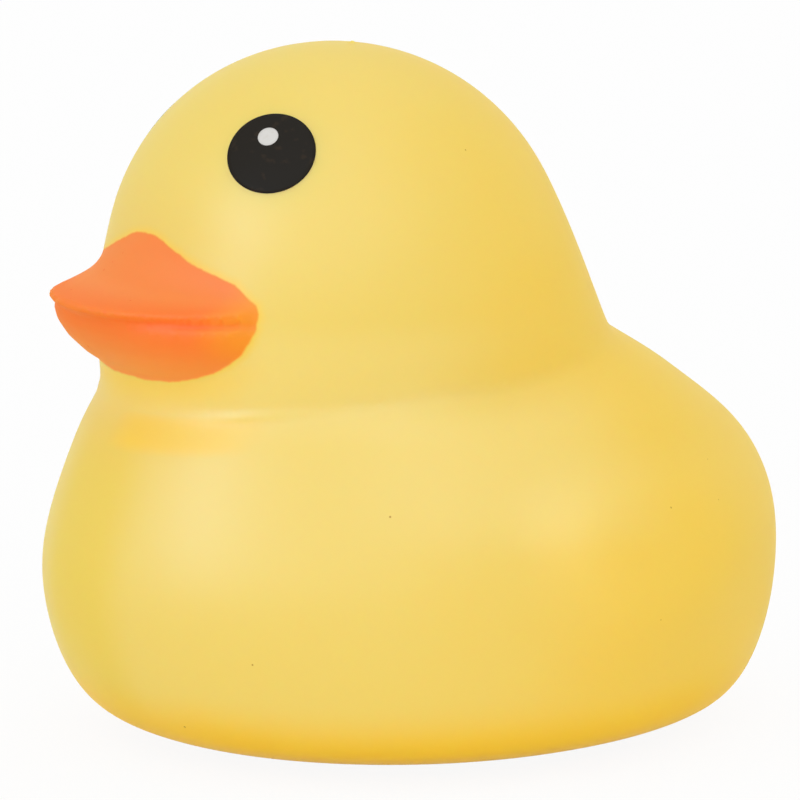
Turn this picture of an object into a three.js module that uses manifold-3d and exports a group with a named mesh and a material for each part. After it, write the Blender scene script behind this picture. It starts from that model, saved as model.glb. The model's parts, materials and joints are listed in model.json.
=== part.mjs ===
// A squeeze duck moulded in one piece: a round head that runs into a wide, low body, a two-lipped bill,
// a wing in low relief on each side, a short blunt tail and a flat sole.
// Millimetres, +Z up. The bill points to -Y, and the sole lies on Z = 0 with the origin in its middle.

import * as THREE from "three";
import { LoftGeometry } from "three/addons/geometries/LoftGeometry.js";
import { mergeVertices } from "three/addons/utils/BufferGeometryUtils.js";
import Module from "manifold-3d";

// Head: a ball ahead of the body's middle, flared at the throat and the nape
const headRadius = 29;
const headForward = 8.6;
const headHeight = 56.3;
const throatFlare = 3.6;
const napeFlare = 7.5;
const flareShare = 0.4;
const faceHollow = 2.2;
const faceHollowSpread = 34;
const faceHollowTilt = 4;

// Neck crease: degrees from the crown down to the line where the head meets the body
const creaseAngleFront = 117.8;
const creaseAngleSide = 111.4;
const creaseAngleBack = 104;

// Body: how far each level reaches to the front, the side and the back, and how high it lies there
const shoulderFront = 40.7;
const shoulderSide = 34.3;
const shoulderBack = 35.3;
const shoulderFrontHeight = 36.3;
const shoulderSideHeight = 39.2;
const shoulderBackHeight = 43.2;
const bellyFront = 44.4;
const bellySide = 40.3;
const bellyBack = 49.3;
const bellyFrontHeight = 19.7;
const bellySideHeight = 23.2;
const bellyBackHeight = 26.8;
const flankFront = 38.5;
const flankSide = 37.9;
const flankBack = 44.3;
const flankHeight = 5.1;
const soleFront = 25.6;
const soleSide = 22.5;
const soleBack = 28.2;
const widestStation = 1;

// Tail: a blunt swelling in the middle of the back
const tailReach = 3.5;
const tailHeight = 36;
const tailHalfHeight = 9;
const tailSpread = 24;

// Wings: soft-edged ovals that stand out from the sides, and fade downwards and to the back
const wingRelief = 3.2;
const wingStation = 9.6;
const wingHeight = 30;
const wingFrontLength = 16;
const wingRearLength = 34;
const wingRise = 9.5;
const wingFall = 20;
const wingFlatShare = 0.36;

// Bill: both lips grow from a root inside the head, and their rims meet at the mouth
const billRootDepth = 13.4;
const mouthDrop = 1.5;
const lipRound = 1;
const lipTuck = 2.4;
const lipOverlap = 0.6;

// Upper lip: half width, reach from the root and height over the mouth, from the rim to the crown
const upperRimHalfWidth = 20.4;
const upperRimReach = 20.5;
const upperRimHeight = 1.05;
const rollHalfWidth = 20.35;
const rollReach = 18;
const rollHeight = 1.75;
const upperLipHalfWidth = 20.2;
const upperLipReach = 13.5;
const upperLipHeight = 3.2;
const saddleHalfWidth = 18;
const saddleReach = 11.85;
const saddleHeight = 5.65;
const browHalfWidth = 12.8;
const browReach = 11.05;
const browHeight = 7.4;
const ridgeHalfWidth = 6.5;
const ridgeReach = 10.15;
const ridgeHeight = 8.85;
const crownHeight = 10.4;
const upperPlanPower = 2.1;

// Lower lip: a bowl under the mouth
const lowerHalfWidth = 20;
const lowerReach = 18.2;
const lowerRimHeight = 0.7;
const lowerDepth = 11.25;
const lowerSidePower = 1.8;
const lowerPlanPower = 2.8;

// Facets: columns around, and rows from one given level to the next
const trunkColumnCount = 96;
const bodyRowCount = 8;
const headRowCount = 20;
const billColumnCount = 56;
const billRowCount = 3;
const bowlRowCount = 8;

const FULL_TURN = Math.PI * 2;
const radians = THREE.MathUtils.degToRad;
const wasm = await Module();
wasm.setup();

// A direction on the plan: 0 is the front, a quarter turn is the duck's left, half a turn is the back
function turns(count) {
  return Array.from({ length: count }, (_, i) => (i / count) * FULL_TURN);
}

// A value that is given at the front, the side and the back, and eases between them around the plan
function around(turn, front, side, back) {
  const along = Math.cos(turn);
  const end = along > 0 ? front : back;
  return side + (end - side) * along * along;
}

// One level of the body: half an ellipse to the front and half an ellipse to the back
function bodyRing(turn, reach, height) {
  const along = Math.cos(turn);
  const y = along > 0 ? widestStation - (reach.front + widestStation) * along
    : widestStation - (reach.back - widestStation) * along;
  const z = around(turn, height.front, height.side, height.back);
  return new THREE.Vector3(reach.side * Math.sin(turn), y, z);
}

// A point of the head, from the crown at share 0 down to the neck crease at share 1
function headPoint(turn, share) {
  const polar = radians(around(turn, creaseAngleFront, creaseAngleSide, creaseAngleBack)) * share;
  const low = Math.max(0, (share - 1 + flareShare) / flareShare);
  const flare = around(turn, throatFlare, 0, napeFlare) * low * low;
  const out = headRadius * Math.sin(polar) + flare;
  const up = headRadius * Math.cos(polar);
  const point = new THREE.Vector3(out * Math.sin(turn), -out * Math.cos(turn), up);
  const tilt = radians(faceHollowTilt);
  const face = new THREE.Vector3(0, -Math.cos(tilt), Math.sin(tilt));
  const off = point.angleTo(face) / radians(faceHollowSpread);
  point.setLength(point.length() - faceHollow * Math.exp(-off * off));
  return point.add(new THREE.Vector3(0, -headForward, headHeight));
}

// The body's outline from the sole up to the neck crease, at one direction on the plan
function bodyOutline(turn) {
  const flat = (height) => ({ front: height, side: height, back: height });
  return new THREE.CatmullRomCurve3([
    bodyRing(turn, { front: soleFront, side: soleSide, back: soleBack }, flat(0)),
    bodyRing(turn, { front: flankFront, side: flankSide, back: flankBack }, flat(flankHeight)),
    bodyRing(turn, { front: bellyFront, side: bellySide, back: bellyBack },
      { front: bellyFrontHeight, side: bellySideHeight, back: bellyBackHeight }),
    bodyRing(turn, { front: shoulderFront, side: shoulderSide, back: shoulderBack },
      { front: shoulderFrontHeight, side: shoulderSideHeight, back: shoulderBackHeight }),
    headPoint(turn, 1),
  ]);
}

// The tail and the wings push the body's skin out
function relief(point, turn) {
  const tailSide = (turn - Math.PI) / radians(tailSpread);
  const tailUp = (point.z - tailHeight) / tailHalfHeight;
  point.y += tailReach * Math.exp(-tailSide * tailSide - tailUp * tailUp);
  const wingAlong = (point.y - wingStation) / (point.y < wingStation ? wingFrontLength : wingRearLength);
  const wingUp = (point.z - wingHeight) / (point.z > wingHeight ? wingRise : wingFall);
  const raised = 1 - THREE.MathUtils.smoothstep(Math.hypot(wingAlong, wingUp), wingFlatShare, 1);
  point.x += wingRelief * raised * Math.sin(turn);
  return point;
}

function trunkGeometry() {
  const columns = turns(trunkColumnCount);
  const outlines = columns.map(bodyOutline);
  const bodyRows = bodyRowCount * (outlines[0].points.length - 1);
  const sections = [];
  for (let row = 0; row < bodyRows; row += 1) {
    sections.push(columns.map((turn, i) => relief(outlines[i].getPoint(row / bodyRows), turn)));
  }
  for (let row = 0; row <= headRowCount; row += 1) {
    sections.push(columns.map((turn) => headPoint(turn, 1 - row / headRowCount)));
  }
  return new LoftGeometry(sections, { capStart: true });
}

// One level of a lip: a rounded wedge to the front, closed by a shallow curve inside the head
function lipRing({ halfWidth, reach, height }, planPower) {
  const rootY = billRootDepth - headForward - headRadius;
  const mouthZ = headHeight - mouthDrop;
  const swell = (value) => Math.sign(value) * Math.abs(value) ** (2 / planPower);
  return turns(billColumnCount).map((turn) => {
    const along = Math.cos(turn) > 0 ? swell(Math.cos(turn)) : Math.cos(turn);
    const ahead = along > 0 ? reach * along : Math.min(billRootDepth, reach) * along;
    return new THREE.Vector3(halfWidth * swell(Math.sin(turn)), rootY - ahead, mouthZ + height);
  });
}

function upperLipGeometry() {
  const outline = new THREE.CatmullRomCurve3([
    new THREE.Vector3(upperRimHalfWidth - lipTuck, upperRimReach - lipTuck, -lipOverlap),
    new THREE.Vector3(upperRimHalfWidth - lipRound, upperRimReach - lipRound, 0),
    new THREE.Vector3(upperRimHalfWidth, upperRimReach, upperRimHeight),
    new THREE.Vector3(rollHalfWidth, rollReach, rollHeight),
    new THREE.Vector3(upperLipHalfWidth, upperLipReach, upperLipHeight),
    new THREE.Vector3(saddleHalfWidth, saddleReach, saddleHeight),
    new THREE.Vector3(browHalfWidth, browReach, browHeight),
    new THREE.Vector3(ridgeHalfWidth, ridgeReach, ridgeHeight),
    new THREE.Vector3(0, 0, crownHeight),
  ]);
  const levels = outline.getPoints(billRowCount * (outline.points.length - 1));
  const rings = levels.map(({ x, y, z }) => lipRing({ halfWidth: x, reach: y, height: z }, upperPlanPower));
  return new LoftGeometry(rings, { capStart: true });
}

function lowerLipGeometry() {
  const rings = [];
  for (let row = 0; row <= bowlRowCount; row += 1) {
    const angle = (row / bowlRowCount) * Math.PI / 2;
    const share = Math.sin(angle) ** (2 / lowerSidePower);
    const down = lowerRimHeight + (lowerDepth - lowerRimHeight) * Math.cos(angle) ** (2 / lowerSidePower);
    rings.push({ halfWidth: lowerHalfWidth * share, reach: lowerReach * share, height: -down });
  }
  rings.push({ halfWidth: lowerHalfWidth - lipRound, reach: lowerReach - lipRound, height: 0 });
  rings.push({ halfWidth: lowerHalfWidth - lipTuck, reach: lowerReach - lipTuck, height: lipOverlap });
  return new LoftGeometry(rings.map((ring) => lipRing(ring, lowerPlanPower)), { capEnd: true });
}

// A closed geometry as a solid, with its shared corners merged and its collapsed triangles left out
function solidOf({ index: corners, attributes: { position } }) {
  const bare = new THREE.BufferGeometry();
  bare.setAttribute("position", position);
  bare.setIndex(corners);
  const merged = mergeVertices(bare, 1e-4);
  const index = merged.index.array;
  const kept = [];
  for (let i = 0; i < index.length; i += 3) {
    const [a, b, c] = [index[i], index[i + 1], index[i + 2]];
    if (a !== b && b !== c && c !== a) kept.push(a, b, c);
  }
  const vertProperties = new Float32Array(merged.attributes.position.array);
  return new wasm.Manifold(new wasm.Mesh({ numProp: 3, vertProperties, triVerts: new Uint32Array(kept) }));
}

function geometryOf(solid) {
  const { vertProperties, triVerts } = solid.getMesh();
  const geometry = new THREE.BufferGeometry();
  geometry.setAttribute("position", new THREE.BufferAttribute(vertProperties, 3));
  geometry.setIndex(new THREE.BufferAttribute(triVerts, 1));
  geometry.computeVertexNormals();
  return geometry;
}

const skin = new THREE.MeshStandardMaterial({ color: 0xf0d264, roughness: 0.5, metalness: 0 });
const moulding = solidOf(trunkGeometry()).add(solidOf(upperLipGeometry())).add(solidOf(lowerLipGeometry()));
const duck = new THREE.Mesh(geometryOf(moulding), skin);
duck.name = "duck";

const group = new THREE.Group();
group.add(duck);

export default group;
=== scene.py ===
# %% [markdown]
# # A squeeze duck in soft yellow vinyl
# The duck is one hollow moulding: a ball of a head, a broad bill, a wide body with wings in low relief, and a
# flat sole. The orange of the bill is sprayed through a mask and the eyes are printed, so both are colour
# only. This lesson loads the solid model as a fixed frame, makes a finer skin over it, and then paints,
# prints and lights it. All lengths are in metres, with the bill along -Y and the sole on Z = 0.

# %% Load the solid model
import json
import math

import bmesh
import bpy
from mathutils import Matrix, Vector
from mathutils.bvhtree import BVHTree
from mathutils.kdtree import KDTree

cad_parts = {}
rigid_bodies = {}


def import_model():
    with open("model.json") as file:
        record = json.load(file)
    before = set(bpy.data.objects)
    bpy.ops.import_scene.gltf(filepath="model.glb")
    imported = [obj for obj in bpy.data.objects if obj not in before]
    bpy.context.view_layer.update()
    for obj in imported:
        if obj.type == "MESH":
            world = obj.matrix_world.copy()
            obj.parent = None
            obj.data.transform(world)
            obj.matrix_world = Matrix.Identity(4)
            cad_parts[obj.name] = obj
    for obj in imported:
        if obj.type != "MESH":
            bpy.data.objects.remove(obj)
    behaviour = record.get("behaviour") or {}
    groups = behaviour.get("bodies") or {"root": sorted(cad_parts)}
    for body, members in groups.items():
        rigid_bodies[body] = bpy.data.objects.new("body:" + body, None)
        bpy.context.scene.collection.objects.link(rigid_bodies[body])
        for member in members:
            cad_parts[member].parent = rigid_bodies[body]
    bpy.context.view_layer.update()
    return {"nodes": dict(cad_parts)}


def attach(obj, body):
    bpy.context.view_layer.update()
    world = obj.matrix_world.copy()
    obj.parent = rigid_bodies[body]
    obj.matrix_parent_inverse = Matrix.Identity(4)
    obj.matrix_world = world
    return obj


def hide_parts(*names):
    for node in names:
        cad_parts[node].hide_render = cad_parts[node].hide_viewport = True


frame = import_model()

MM = 0.001
scene = bpy.context.scene

# %% [markdown]
# ## The camera
# The picture was taken from a little above the duck's shoulder, with the duck turned about a third of the way
# from profile towards the lens. A long lens from two thirds of a metre gives the same weak perspective. The
# camera's axes are worked out from two angles, so the direction can be read and changed as an angle.

# %% Place the camera
VIEW_TURN = math.radians(60.0)
VIEW_RISE = math.radians(9.79)
VIEW_DISTANCE = 650 * MM
VIEW_HEIGHT = 40.52 * MM
VIEW_ASIDE = 0.74 * MM
PICTURE_PIXELS = 800
FOCAL_PIXELS = 5265
SENSOR_WIDTH = 36.0
NEAR_CLIP = 10 * MM

right = Vector((math.cos(VIEW_TURN), math.sin(VIEW_TURN), 0))
back = Vector((
    math.sin(VIEW_TURN) * math.cos(VIEW_RISE),
    -math.cos(VIEW_TURN) * math.cos(VIEW_RISE),
    math.sin(VIEW_RISE),
))
up = back.cross(right)
target = right * VIEW_ASIDE + Vector((0, 0, VIEW_HEIGHT))

lens = bpy.data.cameras.new("camera")
lens.sensor_fit = "HORIZONTAL"
lens.sensor_width = SENSOR_WIDTH
lens.lens = SENSOR_WIDTH * FOCAL_PIXELS / PICTURE_PIXELS
lens.clip_start = NEAR_CLIP
camera = bpy.data.objects.new("camera", lens)
camera_axes = Matrix((right, up, back)).transposed().to_4x4()
camera.matrix_world = Matrix.Translation(target + back * VIEW_DISTANCE) @ camera_axes
scene.collection.objects.link(camera)
scene.camera = camera
print("lens, mm:", round(lens.lens, 1))

# %% [markdown]
# ## The skin, first pass
# Soft vinyl has no hard edges: the mould's corners come out rounded, and the neck is a soft fold. The solid
# model is made of flat facets with a sharp fold, so a copy of it is merged and rebuilt as an even net of
# small quads by a voxel remesh. A subdivision surface would pinch where the bill joins the head, because the
# facets there are slivers, and the even net has none.

# %% Copy the solid and rebuild it as an even net
WELD_GAP = 0.001 * MM
VOXEL = 0.65 * MM


def link(name, mesh):
    piece = bpy.data.objects.new(name, mesh)
    scene.collection.objects.link(piece)
    return piece


def baked(piece):
    """Put the piece's mesh with its modifiers applied in place of the old one."""
    graph = bpy.context.evaluated_depsgraph_get()
    mesh = bpy.data.meshes.new_from_object(piece.evaluated_get(graph))
    mesh.name = piece.name
    piece.modifiers.clear()
    piece.data = mesh


skin = link("duck_skin", frame["nodes"]["duck"].data.copy())
net = bmesh.new()
net.from_mesh(skin.data)
bmesh.ops.remove_doubles(net, verts=net.verts, dist=WELD_GAP)
net.to_mesh(skin.data)
net.free()
rebuild = skin.modifiers.new("even net", "REMESH")
rebuild.mode = "VOXEL"
rebuild.voxel_size = VOXEL
baked(skin)
print("even net:", len(skin.data.polygons), "faces")

# %% [markdown]
# ## Where the bill is
# The relaxing, the paint and the mouth all need to know where the bill is. Seen from the middle of the head,
# the mask that the orange was sprayed through is a simple closed outline, so it is given as a few turns and
# rises in degrees for one side, and mirrored. It was held a little to the duck's left. The distance to that
# outline, in millimetres along the face, says how far inside or outside the mask a point lies.

# %% Measure a point's distance inside the spray mask
HEAD_MIDDLE = Vector((0, -8.6, 56.3)) * MM
HEAD_RADIUS = 29 * MM
MASK_TURN = 2.0
MASK_OUTLINE = (
    (0, 16.1), (4.2, 15.9), (8.3, 15), (12.3, 13.4), (15.9, 12.2), (19.1, 10.9), (24.9, 9), (30, 7.6),
    (34.6, 6.1), (36.8, 4.5), (38.7, 3), (40.6, 1.4), (41.1, 0), (40.9, -1.4), (40.5, -2.4), (40.6, -3.6),
    (39.2, -6.6), (37.1, -9.6), (33.7, -12.1), (29.4, -14.3), (24.8, -15.8), (19.8, -17), (14.4, -17.6),
    (8.4, -18.1), (0, -18.1),
)
DEGREE = math.radians(1) * HEAD_RADIUS / MM


def inside_mask(point):
    """Millimetres inside the spray mask, and negative outside it."""
    arm = point - HEAD_MIDDLE
    level = math.hypot(arm.x, arm.y)
    turn = math.degrees(math.atan2(arm.x, -arm.y)) - MASK_TURN
    spot = Vector((abs(turn), math.degrees(math.atan2(arm.z, level))))
    nearest = math.inf
    crossings = 0
    for a, b in zip(MASK_OUTLINE, MASK_OUTLINE[1:]):
        a, b = Vector(a), Vector(b)
        run = b - a
        share = min(1, max(0, (spot - a).dot(run) / run.length_squared))
        nearest = min(nearest, (spot - a - run * share).length)
        if (a.y > spot.y) != (b.y > spot.y) and spot.x < a.x + run.x * (spot.y - a.y) / run.y:
            crossings += 1
    return nearest * DEGREE * (1 if crossings % 2 else -1)


print("mask, mm to each side:", round(max(turn for turn, _ in MASK_OUTLINE) * DEGREE, 1))

# %% [markdown]
# ## Where the neck is
# The head ends in a closed line, which dips at the throat and rises at the nape, and the body begins there.
# The even net has no edge to follow along it, so the line is traced again from its angle down from the crown
# and from the head's flare, each at the front, the side and the back. Its points are kept in a tree for quick
# searches.

# %% Trace the fold of the neck
NECK_ANGLE = (117.8, 111.4, 104)
NECK_FLARE = (3.6, 0, 7.5)
NECK_POINTS = 2400


def around(turn, front, side, back):
    """A value that is given at the front, the side and the back, and eases between them."""
    end = front if math.cos(turn) > 0 else back
    return side + (end - side) * math.cos(turn) ** 2


neck = KDTree(NECK_POINTS)
for i in range(NECK_POINTS):
    turn = math.tau * i / NECK_POINTS
    down = math.radians(around(turn, *NECK_ANGLE))
    out = HEAD_RADIUS * math.sin(down) + around(turn, *NECK_FLARE) * MM
    arm = Vector((out * math.sin(turn), -out * math.cos(turn), HEAD_RADIUS * math.cos(down)))
    neck.insert(HEAD_MIDDLE + arm, i)
neck.balance()
print("points along the neck:", NECK_POINTS)

# %% [markdown]
# ## Bill, fold and plain skin
# The bill is finer than the rest, and the neck is a fold at the sides and the back but filled at the throat.
# One strength of relaxing for all would blur the first two or leave facets on the rest. So the points are
# sorted into three groups: the bill with a little of the face around it, the fold, and the plain skin.

# %% Sort the points of the net
ROOT_WIDTH = 1.6
FOLD_WIDTH = 1.5 * MM
THROAT_TURN = 30


def turn_of(point):
    """Degrees around the head from the bill, the same on both sides."""
    return math.degrees(math.atan2(abs(point.x), HEAD_MIDDLE.y - point.y))


def near_fold(point):
    return neck.find(point)[2] < FOLD_WIDTH and turn_of(point) > THROAT_TURN


net = bmesh.new()
net.from_mesh(skin.data)
lips = {v for v in net.verts if inside_mask(v.co) > -ROOT_WIDTH}
fold = {v for v in net.verts if near_fold(v.co)} - lips
plain = set(net.verts) - fold - lips
print("points on the bill:", len(lips), "in the fold:", len(fold), "of", len(net.verts))

# %% [markdown]
# ## Relaxing the skin
# Each round moves a point towards the average of its neighbours, as vinyl rounds off what the mould left
# sharp. The plain skin gets many rounds, which melt the facets, and the fold gets fewer, so that it stays a
# fold. The bill would shrink and lose its lips, so each of its few rounds is followed by one that swells it
# again.

# %% Relax the skin
BODY_ROUNDS = 19
FOLD_ROUNDS = 9
LIP_ROUNDS = 7
SETTLE = 0.5
LIP_SWELL = -0.52
ALL_AXES = {"use_axis_x": True, "use_axis_y": True, "use_axis_z": True}


def relax(verts, share):
    """Move each point a share of the way to its neighbours' average, or away from it below zero."""
    bmesh.ops.smooth_vert(net, verts=list(verts), factor=share, **ALL_AXES)


for done in range(BODY_ROUNDS):
    moving = list(plain)
    if done < FOLD_ROUNDS:
        moving += fold
    if done < LIP_ROUNDS:
        moving += lips
    relax(moving, SETTLE)
    if done < LIP_ROUNDS:
        relax(lips, LIP_SWELL)
print("rounds on the body:", BODY_ROUNDS, "in the fold:", FOLD_ROUNDS, "on the bill:", LIP_ROUNDS)

# %% [markdown]
# ## The size that the relaxing took
# Relaxing pulls a round skin inwards, here by about a tenth of a millimetre. Putting every point back on the
# solid would bring the facets back too, so only the bill's points go most of the way there. The rest of the
# skin swells along its normals, less and less towards the bill and towards the sole, which has to stay flat.

# %% Give the size back
LIP_RETURN = 0.8
SKIN_SWELL = 0.1 * MM
SWELL_FADE = 6
SOLE_FADE = 4 * MM

solid = BVHTree.FromObject(frame["nodes"]["duck"], bpy.context.evaluated_depsgraph_get())
for v in lips:
    if inside_mask(v.co) > ROOT_WIDTH:
        v.co = v.co.lerp(solid.find_nearest(v.co)[0], LIP_RETURN)
relax(lips, SETTLE)
net.normal_update()
for v in net.verts:
    off_bill = min(1, max(0, -inside_mask(v.co) - ROOT_WIDTH) / SWELL_FADE)
    off_sole = min(1, max(0, v.co.z) / SOLE_FADE)
    v.co += v.normal * SKIN_SWELL * (off_bill * off_sole)
print("widest point, mm:", round(max(v.co.x for v in net.verts) / MM, 2))

# %% [markdown]
# ## The rim under the throat
# Between the throat and the side of the neck the body ends in a soft raised rim, which shows as a short light
# line. A bump in the material would not be part of the mesh. So the net is split once more around it, and the
# points along the line are lifted by a smooth swelling that is highest about forty degrees round from the
# bill.

# %% Raise the rim
RIM_BAND = 3.0 * MM
RIM_DROP = 0.1 * MM
RIM_WIDTH = 0.75 * MM
RIM_HEIGHT = 0.2 * MM
RIM_TURN = 41
RIM_SPREAD = 15
RIM_REACH = 2.5 * RIM_SPREAD


def split_net(near, cuts):
    """Split the edges whose ends are both near, and cut the faces of five corners or more that this makes."""
    band = [e for e in net.edges if all(near(v) for v in e.verts)]
    bmesh.ops.subdivide_edges(net, edges=band, cuts=cuts, use_grid_fill=True)
    bmesh.ops.triangulate(net, faces=[f for f in net.faces if len(f.verts) > 4])
    net.normal_update()


def near_rim(vert):
    return neck.find(vert.co)[2] < RIM_BAND and abs(turn_of(vert.co) - RIM_TURN) < RIM_REACH


split_net(near_rim, cuts=1)
raised = []
for v in filter(near_rim, net.verts):
    line, _, gap = neck.find(v.co)
    gap = math.copysign(gap, line.z - v.co.z) - RIM_DROP
    off = (turn_of(v.co) - RIM_TURN) / RIM_SPREAD
    rise = RIM_HEIGHT * math.exp(-((gap / RIM_WIDTH) ** 2) - off * off)
    raised.append((v, v.co + v.normal * rise))
for v, spot in raised:
    v.co = spot
print("points around the rim:", len(raised))

# %% [markdown]
# ## The sprue mark
# A tiny nib is left on the crown, where the vinyl was poured in and the sprue was cut off. A small cone would
# leave an edge around it. The nib is under a millimetre wide, so the few faces there are split finely, and
# their points are lifted out of the skin.

# %% Raise the sprue mark
NIB_PLACE = Vector((1.4, -6.6, 85.2)) * MM
NIB_BAND = 1.8 * MM
NIB_WIDTH = 0.4 * MM
NIB_HEIGHT = 0.28 * MM


def near_nib(vert):
    return (vert.co - NIB_PLACE).length < NIB_BAND


split_net(near_nib, cuts=3)
lifted = 0
for v in net.verts:
    off = (v.co - NIB_PLACE).xy.length
    if off < NIB_BAND and v.co.z > HEAD_MIDDLE.z:
        v.co.z += NIB_HEIGHT * math.exp(-((off / NIB_WIDTH) ** 2))
        lifted += 1
print("points around the sprue mark:", lifted)

# %% [markdown]
# ## The mouth
# Where the two lips meet, the mould leaves a fine closed groove. A cut through the skin would open it, so the
# net is split once more around the mouth, and the points near its level sink a little along their normals,
# most of all on the line itself.

# %% Press in the mouth line
MOUTH_HEIGHT = 54.8 * MM
MOUTH_BAND = 1.6 * MM
MOUTH_DEPTH = 0.12 * MM
MOUTH_WIDTH = 0.3 * MM


def near_mouth(vert):
    return abs(vert.co.z - MOUTH_HEIGHT) < MOUTH_BAND and inside_mask(vert.co) > 0


split_net(near_mouth, cuts=1)
pressed = []
for v in filter(near_mouth, net.verts):
    sink = MOUTH_DEPTH * math.exp(-(((v.co.z - MOUTH_HEIGHT) / MOUTH_WIDTH) ** 2))
    pressed.append((v, v.co - v.normal * sink))
for v, spot in pressed:
    v.co = spot
net.to_mesh(skin.data)
net.free()
print("points around the mouth:", len(pressed))

# %% [markdown]
# ## The mask on the skin
# The paint has to know how far each point lies inside the spray mask. The material could work that out, but
# an outline with this many corners would take a great many nodes. It is measured once at each point instead,
# and kept on the mesh as an attribute that the material reads.

# %% Keep the distance inside the mask
skin.data.shade_smooth()
mask = skin.data.attributes.new("inside_mask", "FLOAT", "POINT")
mask.data.foreach_set("value", [inside_mask(v.co) for v in skin.data.vertices])
skin_surface = BVHTree.FromObject(skin, bpy.context.evaluated_depsgraph_get())
print("skin:", sum(len(p.vertices) - 2 for p in skin.data.polygons), "triangles")

# %% [markdown]
# ## A pad print
# The eyes are ink that a soft pad pressed onto the curved head. The pad gives a little, so a round print
# comes out a tenth longer along one diagonal. Painting it in the skin's material would do, but a thin film of
# its own keeps the edge crisp. A flat disc is cut into rings, stretched, dropped onto the head along the
# pad's direction and given a little thickness, with its root below the skin.

# %% Shape one print
PRINT_SIDES = 96
PRINT_STRETCH = 1.1
PRINT_LEAN = 140
PAD_START = 2
INK_ROOT = 0.12 * MM


def pad_print(name, turn, rise, radius, lift, rings):
    """A film of ink at a turn and a rise in degrees, with its face lifted off the skin."""
    lean = math.radians(math.copysign(PRINT_LEAN, turn))
    stretch = Matrix.Scale(PRINT_STRETCH, 4, (math.cos(lean), math.sin(lean), 0))
    turn, rise = math.radians(turn), math.radians(rise)
    out = Vector((math.sin(turn) * math.cos(rise), -math.cos(turn) * math.cos(rise), math.sin(rise)))
    disc = bmesh.new()
    bmesh.ops.create_circle(disc, cap_ends=True, cap_tris=False, segments=PRINT_SIDES, radius=radius)
    for _ in range(rings):
        core = max(disc.faces, key=lambda face: len(face.verts))
        bmesh.ops.inset_region(disc, faces=[core], thickness=radius / (rings + 1), use_boundary=True)
    core = max(disc.faces, key=lambda face: len(face.verts))
    bmesh.ops.poke(disc, faces=[core])
    stand = out.to_track_quat("Z", "Y").to_matrix().to_4x4()
    above = Matrix.Translation(HEAD_MIDDLE + out * HEAD_RADIUS * PAD_START)
    bmesh.ops.transform(disc, matrix=above @ stand @ stretch, verts=disc.verts)
    for v in disc.verts:
        spot, normal, _, _ = skin_surface.ray_cast(v.co, -out)
        v.co = spot + normal * lift
    bmesh.ops.solidify(disc, geom=disc.faces[:], thickness=lift + INK_ROOT)
    bmesh.ops.recalc_face_normals(disc, faces=disc.faces)
    mesh = bpy.data.meshes.new(name)
    disc.to_mesh(mesh)
    disc.free()
    mesh.shade_smooth()
    return link(name, mesh)


print("a round print is stretched by a factor of", PRINT_STRETCH)

# %% [markdown]
# ## The eyes
# Each eye is a black print with a white dot on top, a little nearer to the crown and to the middle of the
# face. The right eye sits further round than the left one. A loop over the two sides makes both pairs, so
# they share every other measure, and the dot is lifted twice as far as the black so that it lies on it.

# %% Print the eyes
EYE_TURN = {"left": 41.4, "right": -52.0}
EYE_RISE = 39.5
EYE_RADIUS = 5.27 * MM
EYE_RINGS = 8
DOT_ASIDE = 2.0
DOT_RISE = 43.5
DOT_RADIUS = 1.22 * MM
DOT_RINGS = 3
INK_THICKNESS = 0.03 * MM
DOT_LIFT = INK_THICKNESS * 2

eyes = []
dots = []
for side, turn in EYE_TURN.items():
    dot_turn = turn - math.copysign(DOT_ASIDE, turn)
    eyes.append(pad_print(f"eye_{side}", turn, EYE_RISE, EYE_RADIUS, INK_THICKNESS, EYE_RINGS))
    dots.append(pad_print(f"eye_dot_{side}", dot_turn, DOT_RISE, DOT_RADIUS, DOT_LIFT, DOT_RINGS))
print("prints:", [piece.name for piece in eyes + dots])

# %% [markdown]
# ## Shader maths as plain expressions
# A material is a net of nodes, and arithmetic on it is easier to read as arithmetic. This class wraps one
# socket of a node: +, - and * add Math nodes, and `make` adds any other node from its type, settings and
# inputs.

# %% Wrap a node's socket


class Wire:
    def __init__(self, tree, socket=None):
        self.tree = tree
        self.socket = socket

    def make(self, kind, settings=None, inputs=None, output=0):
        node = self.tree.nodes.new(kind)
        for name, value in (settings or {}).items():
            setattr(node, name, value)
        for name, value in (inputs or {}).items():
            if isinstance(value, Wire):
                self.tree.links.new(value.socket, node.inputs[name])
            else:
                node.inputs[name].default_value = value
        return Wire(self.tree, node.outputs[output])

    def maths(self, operation, *values):
        inputs = dict(enumerate((self, *values)))
        return self.make("ShaderNodeMath", {"operation": operation}, inputs)

    def __add__(self, other):
        return self.maths("ADD", other)

    def __sub__(self, other):
        return self.maths("SUBTRACT", other)

    def __mul__(self, other):
        return self.maths("MULTIPLY", other)

    def __rsub__(self, other):
        return (self * -1) + other

    __radd__ = __add__
    __rmul__ = __mul__

    def squared(self):
        return self * self

    def step(self, low, high):
        """0 below low, 1 above high, and a smooth rise between."""
        return self.make(
            "ShaderNodeMapRange",
            {"interpolation_type": "SMOOTHSTEP"},
            {"Value": self, "From Min": low, "From Max": high},
        )

    def near(self, middle, fade):
        """1 near a middle value, and 0 where the square of the distance from it has passed the fade."""
        return 1 - (self - middle).squared().step(*fade)

    def noise(self, scale, detail):
        """Soft clouds between 0 and 1, where this wire carries a place."""
        return self.make("ShaderNodeTexNoise", inputs={"Vector": self, "Scale": scale, "Detail": detail})

    def blend(self, first, second):
        """A colour that goes from first to second as this value goes from 0 to 1."""
        settings = {"data_type": "RGBA", "clamp_factor": True}
        return self.make("ShaderNodeMix", settings, {0: self, 6: first, 7: second}, output=2)


print("a wire can:", [name for name in vars(Wire) if not name.startswith("_")])

# %% [markdown]
# ## Starting a material
# Every finish here starts from the same shader, takes colours as a screen shows them and ends in a few of the
# shader's sockets. Three small helpers do that, so each finish below is only its own colours and masks.

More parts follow.
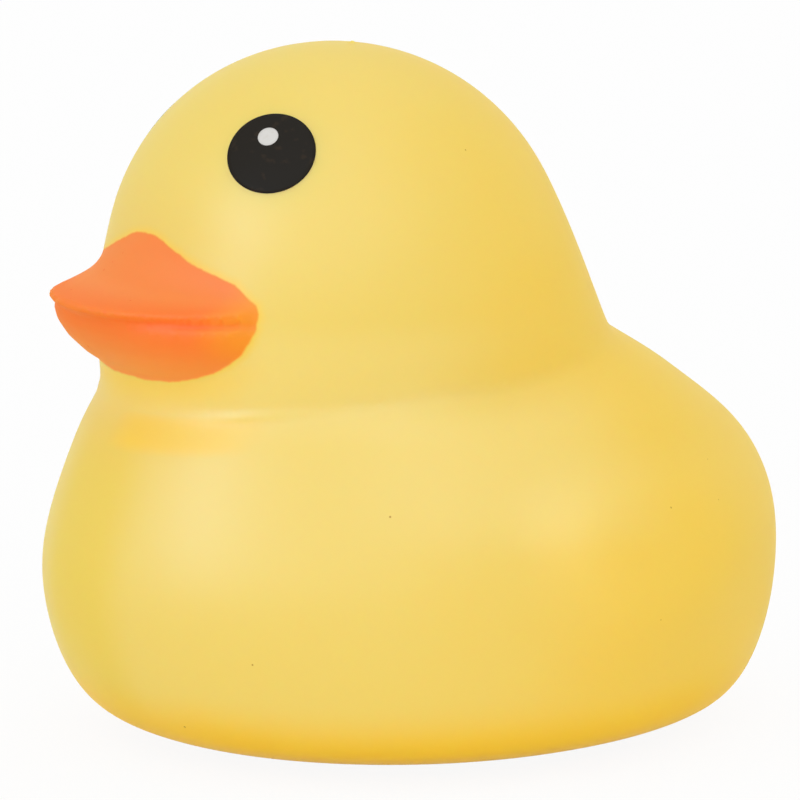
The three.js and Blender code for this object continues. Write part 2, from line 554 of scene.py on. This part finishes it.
# %% Start, feed and colour a finish


def finish_of(name):
    """A new material with its shader node, and the wire that starts its net."""
    material = bpy.data.materials.new(name)
    material.use_nodes = True
    tree = material.node_tree
    return material, tree.nodes["Principled BSDF"], Wire(tree)


def feed(shader, socket, wire):
    wire.tree.links.new(wire.socket, shader.inputs[socket])


def srgb(red, green, blue):
    """The linear colour of a value that was read on a screen, from 0 to 255."""
    shares = [c / 255 for c in (red, green, blue)]
    linear = [((c + 0.055) / 1.055) ** 2.4 if c > 0.04 else c / 12.92 for c in shares]
    return (*linear, 1)


print("middle grey:", [round(c, 3) for c in srgb(128, 128, 128)])

# %% [markdown]
# ## Places on the duck
# The dye and the paint change from place to place, so the material needs to know where it is. Object
# coordinates give that in metres, and they stay the same when the duck is moved. They are turned into
# millimetres aside, along and up, and a slow noise is kept beside them, to stop any edge from running
# straight.

# %% Read the place
CLOUD_SCALE = 0.045
NOISE_DETAIL = 2.0

vinyl, vinyl_shader, wire = finish_of("yellow_vinyl")
place = wire.make("ShaderNodeTexCoord", output="Object")
in_mm = place.make("ShaderNodeVectorMath", {"operation": "SCALE"}, {0: place, "Scale": 1 / MM})
parts = [in_mm.make("ShaderNodeSeparateXYZ", inputs={0: in_mm}, output=axis) for axis in "XYZ"]
aside, along, height = parts
across = aside.maths("ABSOLUTE")
clouds = in_mm.noise(CLOUD_SCALE, NOISE_DETAIL)
print("clouds, mm across:", round(1 / CLOUD_SCALE))

# %% [markdown]
# ## Yellow vinyl
# Soft vinyl is dyed right through. Its yellow goes from paler at the breast to deeper at the tail, partly the
# dye and partly painted shade on the side away from the lamps, and turns amber low down, partly a thicker
# wall and partly painted shade near the floor. Painted light makes it paler along the jaw, over the shade
# above the neck, and on the shoulder, and painted shade makes it a little deeper down the middle of the
# breast. An image could hold this, but masks read from the place on the duck need no unwrapping, and each can
# be moved by a number.

# %% Mix the yellow
PALE_YELLOW = srgb(240, 213, 110)
DEEP_AND_SHADED_YELLOW = srgb(248, 207, 82)
PAINTED_LIGHT_YELLOW = srgb(244, 219, 130)
BREAST_PAINTED_SHADE_YELLOW = srgb(238, 209, 86)
AMBER_AND_PAINTED_SHADE = srgb(255, 201, 30)
DRIFT_ALONG, DRIFT_SWING = (-24, 26), 24
JAW_HEIGHT, JAW_FADE, JAW_ALONG = 48, (0, 64), (-16, 2)
SHOULDER_HEIGHT, SHOULDER_FADE = 38, (0, 120)
SHOULDER_FRONT, SHOULDER_BACK = (-28, -12), (0, 20)
PAINTED_LIGHT_SHARE = 0.55
BREAST_ACROSS, BREAST_ALONG, BREAST_PAINTED_SHADE_SHARE = (4, 12), (-41, -36), 0.8
AMBER_HEIGHT, AMBER_SWING = (4.5, 13.5), 3

# Partly dye and partly painted shade: deeper towards the tail, away from the lamps, and paler on the lit
# breast.
drift_and_painted_shade = (along + clouds * DRIFT_SWING - DRIFT_SWING / 2).step(*DRIFT_ALONG)
yellow = drift_and_painted_shade.blend(PALE_YELLOW, DEEP_AND_SHADED_YELLOW)
# Painted light: paler along the jaw over the shade above the neck fold, and a painted highlight on the
# shoulder.
jaw_painted_light = height.near(JAW_HEIGHT, JAW_FADE) * (1 - along.step(*JAW_ALONG))
shoulder_painted_light = height.near(SHOULDER_HEIGHT, SHOULDER_FADE)
shoulder_painted_light = shoulder_painted_light * along.step(*SHOULDER_FRONT) * (1 - along.step(*SHOULDER_BACK))
yellow = ((jaw_painted_light + shoulder_painted_light) * PAINTED_LIGHT_SHARE).blend(yellow, PAINTED_LIGHT_YELLOW)
# Painted shade: the middle of the breast, turned away from the lamps, is painted a little deeper.
breast_painted_shade = (1 - across.step(*BREAST_ACROSS)) * (1 - along.step(*BREAST_ALONG))
yellow = (breast_painted_shade * BREAST_PAINTED_SHADE_SHARE).blend(yellow, BREAST_PAINTED_SHADE_YELLOW)
# Amber low down: partly a thicker wall and partly painted shade near the floor.
low = 1 - (height + clouds * AMBER_SWING).step(*AMBER_HEIGHT)
yellow = low.blend(yellow, AMBER_AND_PAINTED_SHADE)
print("nodes in the yellow:", len(vinyl.node_tree.nodes))

# %% [markdown]
# ## Spray mist and painted shade
# The orange is sprayed, and a warm mist settles around the mask: a narrow one at its edge and a wider one
# under the lower lip. A patch on the breast just under the neck, below the bill, is painted shade with the
# bill's orange bounce in it, in the same warm colour. Each is a soft mask, and the strongest of the three
# counts, because adding them would show where they overlap.

# %% Settle the mist
MIST_AND_PAINTED_SHADE = srgb(255, 208, 54)
FRAY_SCALE, FRAY = 0.7, 0.35
HALO_EDGE, HALO_SHARE = (-1.4, 0.4), 0.7
UNDER_EDGE, UNDER_HEIGHT, UNDER_SHARE = (-5, 0.4), (45, 52), 0.6
PATCH_HEIGHT, PATCH_FADE, PATCH_SAG = 40.6, (0.6, 7), 0.003
PATCH_ASIDE, PATCH_SPREAD = 10, (20, 130)
PATCH_ALONG, PATCH_SHARE = (-30, -25), 0.55

edge = wire.make("ShaderNodeAttribute", {"attribute_name": "inside_mask"}, output="Fac")
ragged = edge + (in_mm.noise(FRAY_SCALE, NOISE_DETAIL) - 0.5) * FRAY
halo = ragged.step(*HALO_EDGE) * HALO_SHARE
under = edge.step(*UNDER_EDGE) * (1 - height.step(*UNDER_HEIGHT)) * UNDER_SHARE
# Painted shade: the patch under the neck, below the bill, with the bill's orange bounce painted in.
painted_shade_patch = (height - across.squared() * PATCH_SAG).near(PATCH_HEIGHT, PATCH_FADE)
painted_shade_patch = painted_shade_patch * aside.near(PATCH_ASIDE, PATCH_SPREAD) * (1 - along.step(*PATCH_ALONG)) * PATCH_SHARE
colour = halo.maths("MAXIMUM", under).maths("MAXIMUM", painted_shade_patch).blend(yellow, MIST_AND_PAINTED_SHADE)
print("nodes with the mist:", len(vinyl.node_tree.nodes))

# %% [markdown]
# ## Sprayed orange
# The orange is darker and redder along the lips, which is painted shade where the upper lip rolls under, and
# paler below them, which is painted light on the underside turned away from the lamps. Above the lips it is
# the plain coat, and it thins out to a yellower orange at the corners of the mouth. Its edge is a little
# ragged, because the spray creeps under the mask. A cut in the mesh would be too clean for that, so the edge
# is the attribute on the skin with a fine noise added.

# %% Spray the bill
ORANGE = srgb(255, 139, 61)
LIP_PAINTED_SHADE_ORANGE = srgb(255, 122, 38)
UNDERSIDE_PAINTED_LIGHT_ORANGE = srgb(255, 152, 70)
THIN_ORANGE = srgb(255, 162, 36)
LOWER_LIP, UPPER_LIP = (47, 55), (56, 57.6)
CORNER_ACROSS, CORNER_SHARE = (16, 20.3), 0.85
PAINT_EDGE = (-0.3, 0.1)

# Painted shade along the lips and painted light on the underside, both in the orange coat.
orange = height.step(*LOWER_LIP).blend(UNDERSIDE_PAINTED_LIGHT_ORANGE, LIP_PAINTED_SHADE_ORANGE)
orange = height.step(*UPPER_LIP).blend(orange, ORANGE)
orange = (across.step(*CORNER_ACROSS) * CORNER_SHARE).blend(orange, THIN_ORANGE)
paint = ragged.step(*PAINT_EDGE)
colour = paint.blend(colour, orange)
print("nodes with the paint:", len(vinyl.node_tree.nodes))

# %% [markdown]
# ## Dust
# A few grains were caught in the vinyl, where they look brown, and under the paint, where they look red. They
# are far too small to model. Each is a place on the skin and a radius in millimetres, and a loop turns them
# into small round spots.

# %% Scatter the dust
SPECK = srgb(178, 124, 4)
PAINTED_SPECK = srgb(250, 96, 20)
DUST_SHARE = 0.8
GRAIN_CORE, GRAIN_EDGE = 0.5, 1.4
GRAINS = (
    (32.6, -19.3, 33.2, 0.13), (25.4, -33.7, 15.8, 0.12), (14.1, -36.8, 6.4, 0.15), (22.1, -3.0, 74.1, 0.1),
    (38.3, 15.4, 31.7, 0.12), (29.6, 26.8, 35.3, 0.08), (34.5, 24.9, 31.2, 0.08), (41.5, 12.2, 19.4, 0.08),
    (-6.1, -41.2, 56.6, 0.18), (-3.4, -40.4, 50.0, 0.17), (6.9, -39.9, 57.0, 0.14),
    (-6.7, -36.5, 58.6, 0.17), (-5.3, -36.0, 59.7, 0.1), (-3.5, -35.6, 61.0, 0.1), (-1.9, -43.4, 56.3, 0.1),
)

dust = None
for x, y, z, radius in GRAINS:
    spot = skin_surface.find_nearest(Vector((x, y, z)) * MM)[0] / MM
    ends = {0: in_mm, 1: spot}
    gap = in_mm.make("ShaderNodeVectorMath", {"operation": "DISTANCE"}, ends, output="Value")
    grain = 1 - gap.step(radius * GRAIN_CORE, radius * GRAIN_EDGE)
    dust = grain if dust is None else dust + grain
colour = (dust * DUST_SHARE).blend(colour, paint.blend(SPECK, PAINTED_SPECK))
print("grains of dust:", len(GRAINS))

# %% [markdown]
# ## The satin face
# The face of the vinyl is smooth but not polished, and the paint on the bill is duller. A little light goes
# in and comes out again nearby, more of the red than of the blue, which keeps the shaded side warm. The
# shader's own subsurface does this, and a low index of refraction keeps the sheen soft.

# %% Finish the skin
SATIN = 0.45
CLOUD_DULLNESS = 0.06
PAINT_DULLNESS = 0.18
VINYL_IOR = 1.2
SOAK_SHARE = 0.6
SOAK_COLOURS = (1.0, 0.7, 0.4)
SOAK_DEPTH = 4 * MM

feed(vinyl_shader, "Base Color", colour)
feed(vinyl_shader, "Roughness", SATIN + clouds * CLOUD_DULLNESS + paint * PAINT_DULLNESS)
vinyl_shader.inputs["IOR"].default_value = VINYL_IOR
vinyl_shader.inputs["Subsurface Weight"].default_value = SOAK_SHARE
vinyl_shader.inputs["Subsurface Radius"].default_value = SOAK_COLOURS
vinyl_shader.inputs["Subsurface Scale"].default_value = SOAK_DEPTH
skin.data.materials.clear()
skin.data.materials.append(vinyl)
print("nodes in the vinyl:", len(vinyl.node_tree.nodes))

# %% [markdown]
# ## Printing ink
# The ink is a soft black with a satin face, a little browner where the pad laid it thin, and the dot is
# off-white. One flat colour would look cut out, so a fine noise picks the thin places. Both inks are made by
# one function.

# %% Mix the inks
INK = srgb(42, 38, 33)
THIN_INK = srgb(52, 44, 36)
WHITE_INK = srgb(216, 214, 210)
THIN_WHITE_INK = srgb(210, 206, 198)
INK_GRAIN_SCALE, INK_GRAIN_DETAIL = 700.0, 3.0
THIN_PLACES = (0.58, 0.72)
INK_DULLNESS = 0.1
INK_IOR = 1.05


def ink_of(name, colour, thin, roughness):
    ink, shader, wire = finish_of(name)
    grain = wire.make("ShaderNodeTexCoord", output="Object").noise(INK_GRAIN_SCALE, INK_GRAIN_DETAIL)
    feed(shader, "Base Color", grain.step(*THIN_PLACES).blend(colour, thin))
    feed(shader, "Roughness", roughness + grain * INK_DULLNESS)
    shader.inputs["IOR"].default_value = INK_IOR
    return ink


black_ink = ink_of("black_ink", INK, THIN_INK, roughness=0.42)
white_ink = ink_of("white_ink", WHITE_INK, THIN_WHITE_INK, roughness=0.45)
for eye in eyes:
    eye.data.materials.append(black_ink)
for dot in dots:
    dot.data.materials.append(white_ink)
print("inks:", black_ink.name, white_ink.name)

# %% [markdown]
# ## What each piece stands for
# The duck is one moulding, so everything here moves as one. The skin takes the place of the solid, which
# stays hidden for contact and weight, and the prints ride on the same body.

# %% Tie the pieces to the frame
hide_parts("duck")
for piece in [skin, *eyes, *dots]:
    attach(piece, "root")
print("pieces:", 1 + len(eyes) + len(dots))

# %% [markdown]
# ## The floor
# The picture is a bright one, on white paper. More light would turn a floor white, but would bleach the duck
# as well. So the paper glows for the rays that only look at it and is plain pale paper for all the others: it
# looks white, throws no more light on the duck than paper does, and still takes the duck's shadow.

# %% Lay the floor
FLOOR_HALF = 4.0
PAPER = (0.94, 0.94, 0.94, 1)
PAPER_GLOW = 0.92
WHITE = (1, 1, 1, 1)
BACKDROP_RAYS = ("Is Camera Ray", "Is Glossy Ray", "Is Transmission Ray")


def backdrop_rays(wire):
    """1 for the rays that show a background: those of the lens, of mirrors and of glass."""
    seen, glossy, through = [wire.make("ShaderNodeLightPath", output=name) for name in BACKDROP_RAYS]
    return seen.maths("MAXIMUM", glossy).maths("MAXIMUM", through)


ground = bmesh.new()
bmesh.ops.create_grid(ground, x_segments=2, y_segments=2, size=FLOOR_HALF)
floor_mesh = bpy.data.meshes.new("floor")
ground.to_mesh(floor_mesh)
ground.free()
floor = link("floor", floor_mesh)

paper, paper_shader, wire = finish_of("white_paper")
paper_shader.inputs["Base Color"].default_value = PAPER
paper_shader.inputs["Roughness"].default_value = 1.0
paper_shader.inputs["Specular IOR Level"].default_value = 0.0
glow = wire.make("ShaderNodeEmission", inputs={"Color": WHITE, "Strength": 1.0})
paper_face = Wire(wire.tree, paper_shader.outputs[0])
lit = wire.make("ShaderNodeMixShader", inputs={0: backdrop_rays(wire) * PAPER_GLOW, 1: paper_face, 2: glow})
wire.tree.links.new(lit.socket, wire.tree.nodes["Material Output"].inputs["Surface"])
floor_mesh.materials.append(paper)
print("floor, m across:", 2 * FLOOR_HALF)

# %% [markdown]
# ## The room's light
# Most of the light comes from all sides, as in a white tent. A grey world gives it, and the same rays that
# see the paper glow see the world as white. A strength of 1 for all rays would light the duck too much.

# %% Light the room
AMBIENT = 0.82

world = bpy.data.worlds.new("studio")
world.use_nodes = True
scene.world = world
sky = Wire(world.node_tree)
background = world.node_tree.nodes["Background"]
background.inputs["Color"].default_value = WHITE
brightness = backdrop_rays(sky) * (1 - AMBIENT) + AMBIENT
sky.tree.links.new(brightness.socket, background.inputs["Strength"])
print("light from all sides:", AMBIENT)

# %% [markdown]
# ## The lamps
# Three weak soft boxes model the form, from above, from the left and from the front. The highlights on the
# breast and the cheek are cool window light on a satin face, and three more lamps give only those: they reach
# the sheen and leave the dye alone, so the yellow keeps its colour. All are wide suns, because a sun's light
# doesn't fall off with distance. Each place is given along the camera's right, up and back.

# %% Hang the lamps
DAYLIGHT = (0.45, 0.72, 1.0)
SOFT_BOX, SHEEN = False, True
LAMPS = (
    ("soft_box_top", (0.1, 0.98, -0.1), 0.04, 50, SOFT_BOX),
    ("soft_box_left", (-0.75, 0.0, 0.66), 0.1, 60, SOFT_BOX),
    ("sheen_left", (-0.78, 0.32, 0.53), 2.9, 28, SHEEN),
    ("sheen_top", (0.1, 0.98, -0.19), 0.2, 40, SHEEN),
    ("sheen_front", (-0.1, 0.62, 0.78), 2.9, 80, SHEEN),
    ("soft_box_front", (0.1, 0.05, 0.99), 0.19, 60, SOFT_BOX),
)

for name, (to_right, to_top, to_lens), level, spread, sheen_only in LAMPS:
    sun = bpy.data.lights.new(name, "SUN")
    sun.energy = level * math.pi
    sun.angle = math.radians(spread)
    lamp = bpy.data.objects.new(name, sun)
    direction = (right * to_right + up * to_top + back * to_lens).normalized()
    lamp.rotation_euler = direction.to_track_quat("Z", "Y").to_euler()
    if sheen_only:
        sun.color = DAYLIGHT
        lamp.visible_diffuse = False
    scene.collection.objects.link(lamp)
scene.view_settings.view_transform = "Standard"

# %% [markdown]
# The skin has to stay close to the solid model's box.
